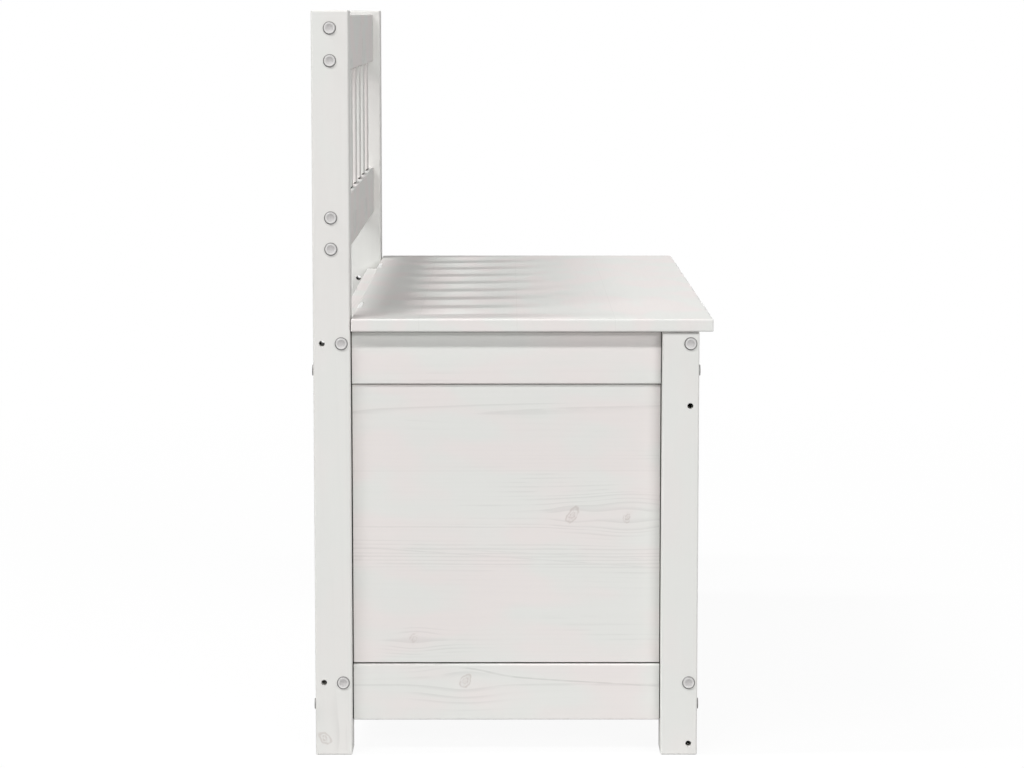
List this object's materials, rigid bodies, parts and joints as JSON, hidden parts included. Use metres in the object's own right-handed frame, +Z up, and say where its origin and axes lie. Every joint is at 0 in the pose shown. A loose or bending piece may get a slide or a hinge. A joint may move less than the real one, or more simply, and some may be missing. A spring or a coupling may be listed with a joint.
{
  "type": "storage bench",
  "caption": "White lacquered pine chest bench with a slatted backrest, panelled sides and a hinged seat lid.",
  "frame": {"origin": "on the floor under the middle of the bench's box", "axes": "+Z up, -Y is the bench's front, X along its length"},
  "size_m": [0.8, 0.412, 0.77],
  "materials": {
    "white_lacquered_pine": "satin white lacquer over pine, with faint grain and knots",
    "grey_white_cap": "satin plastic",
    "white_steel": "white paint",
    "zinc_steel": "zinc plated",
    "beech_dowel": "bare beech"
  },
  "bodies": {
    "frame": {"back_post_left": "white_lacquered_pine", "back_post_right": "white_lacquered_pine", "front_post_left": "white_lacquered_pine", "front_post_right": "white_lacquered_pine", "front_top_rail": "white_lacquered_pine", "front_bottom_rail": "white_lacquered_pine", "rear_top_rail": "white_lacquered_pine", "rear_bottom_rail": "white_lacquered_pine", "side_top_rail_left": "white_lacquered_pine", "side_top_rail_right": "white_lacquered_pine", "side_bottom_rail_left": "white_lacquered_pine", "side_bottom_rail_right": "white_lacquered_pine", "front_panel": "white_lacquered_pine", "rear_panel": "white_lacquered_pine", "side_panel_left": "white_lacquered_pine", "side_panel_right": "white_lacquered_pine", "bottom_board": "white_lacquered_pine", "bottom_batten_front": "white_lacquered_pine", "bottom_batten_rear": "white_lacquered_pine", "bottom_batten_left": "white_lacquered_pine", "bottom_batten_right": "white_lacquered_pine", "bottom_batten_screws": "zinc_steel", "backrest_top_rail": "white_lacquered_pine", "backrest_lower_rail": "white_lacquered_pine", "backrest_slat_1": "white_lacquered_pine", "backrest_slat_2": "white_lacquered_pine", "backrest_slat_3": "white_lacquered_pine", "backrest_slat_4": "white_lacquered_pine", "backrest_slat_5": "white_lacquered_pine", "backrest_slat_6": "white_lacquered_pine", "backrest_slat_7": "white_lacquered_pine", "backrest_bolts": "zinc_steel", "long_rail_bolts": "zinc_steel", "side_rail_bolts": "zinc_steel", "backrest_bolt_caps": "grey_white_cap", "long_rail_bolt_caps": "grey_white_cap", "side_rail_bolt_caps": "grey_white_cap", "backrest_barrel_nuts": "zinc_steel", "long_rail_barrel_nuts": "zinc_steel", "side_rail_barrel_nuts": "zinc_steel", "long_rail_dowels": "beech_dowel", "side_rail_dowels": "beech_dowel", "hinge_frame_leaf_left": "white_steel", "hinge_frame_leaf_right": "white_steel", "hinge_pins": "zinc_steel", "hinge_frame_screws": "zinc_steel"},
    "lid": {"lid_board": "white_lacquered_pine", "lid_batten_left": "white_lacquered_pine", "lid_batten_right": "white_lacquered_pine", "lid_batten_screws": "zinc_steel", "hinge_lid_leaf_left": "white_steel", "hinge_lid_leaf_right": "white_steel", "hinge_lid_screws": "zinc_steel"}
  },
  "joints": [
    {"name": "lid_hinge", "type": "hinge", "parent": "frame", "child": "lid", "pos_m": [0, 0.1625, 0.4535], "axis": [-1, 0, 0], "range_deg": [0, 90]}
  ]
}
